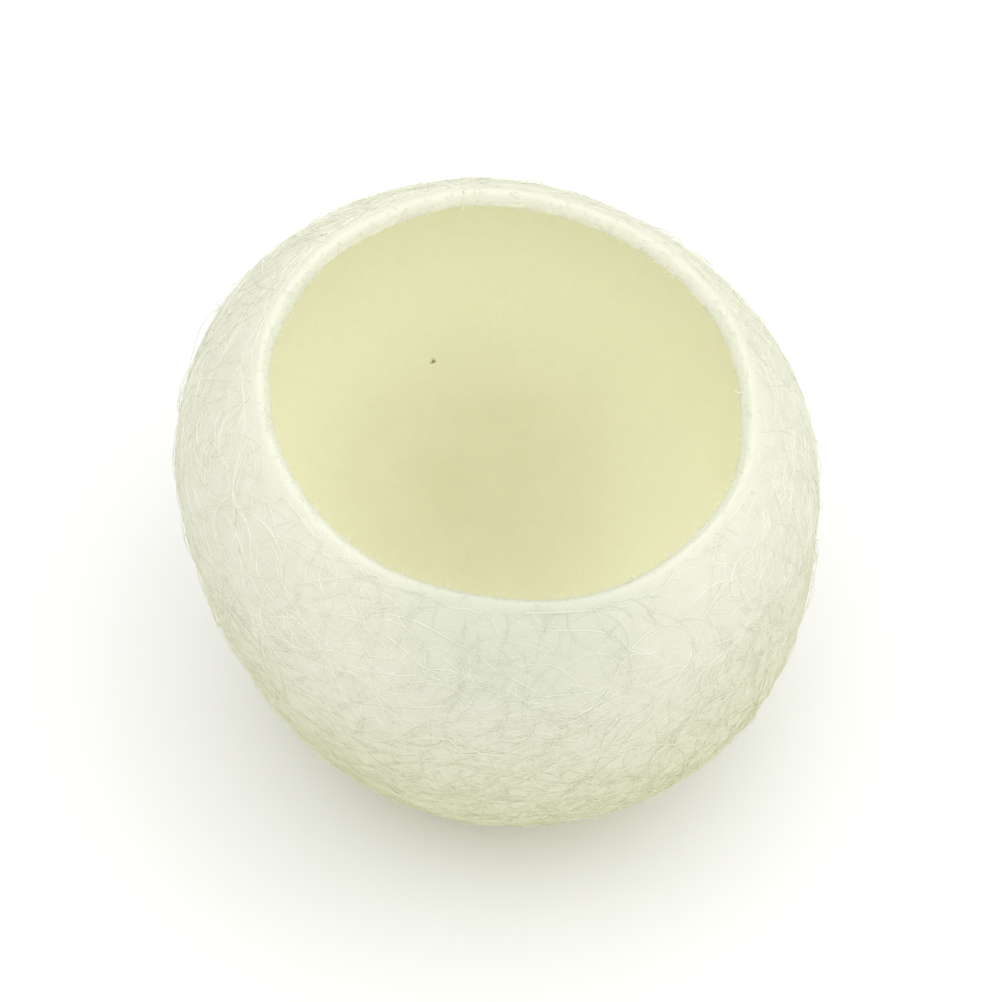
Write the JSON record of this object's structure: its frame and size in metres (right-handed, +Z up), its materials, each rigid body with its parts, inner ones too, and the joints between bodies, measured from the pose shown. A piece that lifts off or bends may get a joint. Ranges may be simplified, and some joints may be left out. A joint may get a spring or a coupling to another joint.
{
  "type": "silk cocoon",
  "caption": "Silkworm cocoon with one end cut off, standing on its rounded closed end: a matted silk bowl whose round open mouth takes a fingertip.",
  "frame": {"origin": "middle of the small flat spot at the closed end, on which the cocoon rests", "axes": "+Z up, out of the cut mouth; -Y towards the side seen first; +X to that side's right"},
  "size_m": [0.0206, 0.0201, 0.0184],
  "materials": {
    "silk": "matt, finely fibrous undyed silk"
  },
  "bodies": {
    "root": {"cocoon": "silk"}
  },
  "joints": []
}
